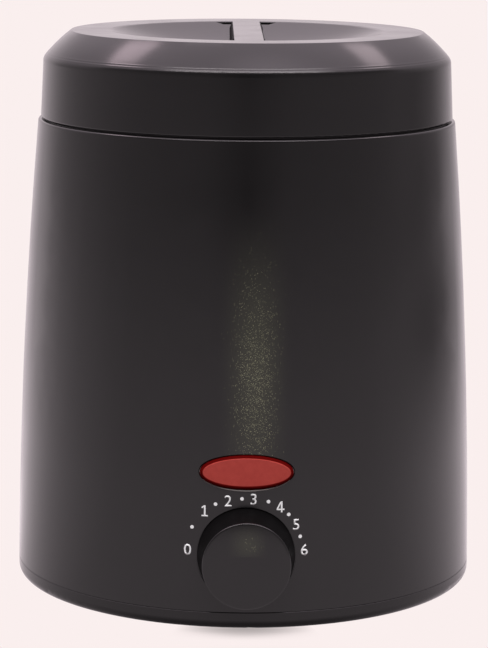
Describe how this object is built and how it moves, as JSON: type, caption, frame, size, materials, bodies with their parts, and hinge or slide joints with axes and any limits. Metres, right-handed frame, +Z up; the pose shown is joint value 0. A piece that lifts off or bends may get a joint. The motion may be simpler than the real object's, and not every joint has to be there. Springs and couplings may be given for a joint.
{
  "type": "wax warmer pot",
  "caption": "Round tapered wax warmer with a lift-off dished lid, a removable wax pot in a heated well, a thermostat knob, an oval indicator lamp and a rear mains inlet.",
  "frame": {"origin": "on the drum's axis, in the plane of the feet's soles", "axes": "+Z up along the drum's axis, -Y towards the front with the knob and lamp, +X to the right seen from the front"},
  "size_m": [0.15, 0.1625, 0.1814],
  "materials": {
    "black_plastic": "satin moulded black with a very fine metallic flake",
    "red_lens": "translucent red, pebbled face",
    "foot_rubber": "soft black rubber",
    "silicone": "pale heat-proof silicone",
    "spun_aluminium": "spun, with fine turning lines",
    "heater_jacket": "rolled sheet steel",
    "zinc_steel": "zinc plated",
    "brass": "bare brass",
    "copper": "drawn copper",
    "fuse_aluminium": "plain aluminium",
    "glass_fibre": "needled glass-fibre blanket",
    "phenolic": "dark moulded phenolic",
    "nylon": "natural nylon",
    "neon_glass": "clear glass tube",
    "inlet_plastic": "black moulded nylon",
    "live_sleeve": "brown wire sleeve",
    "neutral_sleeve": "blue wire sleeve",
    "earth_sleeve": "green wire sleeve with a yellow stripe",
    "heat_sleeve": "white braided heat-proof sleeve"
  },
  "bodies": {
    "casing": {"outer_casing": "black_plastic", "base_cover": "black_plastic", "rubber_feet": "foot_rubber", "tie_bolt": "zinc_steel", "tie_washer": "zinc_steel", "well_nut": "zinc_steel", "heating_well": "spun_aluminium", "well_gasket": "silicone", "band_heater": "heater_jacket", "heater_strap": "heater_jacket", "strap_screw": "zinc_steel", "strap_nut": "zinc_steel", "heater_tabs": "brass", "insulation_wrap": "glass_fibre", "sensor_bulb": "copper", "bulb_clips": "zinc_steel", "thermal_fuse": "fuse_aluminium", "fuse_clip": "fuse_aluminium", "earth_tab": "brass", "thermostat_housing": "phenolic", "thermostat_bush": "brass", "lock_washer": "zinc_steel", "bush_nut": "brass", "thermostat_tabs": "brass", "lamp_lens": "red_lens", "lamp_holder": "nylon", "neon_lamp": "neon_glass", "inlet_socket": "inlet_plastic", "inlet_pins": "brass", "capillary_tube": "copper", "live_wire": "live_sleeve", "load_wire": "heat_sleeve", "heater_lead": "heat_sleeve", "neutral_wire": "neutral_sleeve", "earth_wire": "earth_sleeve", "lamp_leads": "heat_sleeve"},
    "pot": {"wax_pot": "spun_aluminium"},
    "lid": {"lid": "black_plastic"},
    "knob": {"control_knob": "black_plastic", "knob_spring": "zinc_steel", "thermostat_shaft": "zinc_steel"}
  },
  "joints": [
    {"name": "pot_lift", "type": "slide", "parent": "casing", "child": "pot", "axis": [0, 0, 1], "range_m": [0, 0.12]},
    {"name": "lid_lift", "type": "slide", "parent": "pot", "child": "lid", "axis": [0, 0, 1], "range_m": [0, 0.12]},
    {"name": "knob_turn", "type": "hinge", "parent": "casing", "child": "knob", "pos_m": [0, -0.08, 0.02545], "axis": [0, 1, 0], "range_deg": [0, 168]}
  ]
}
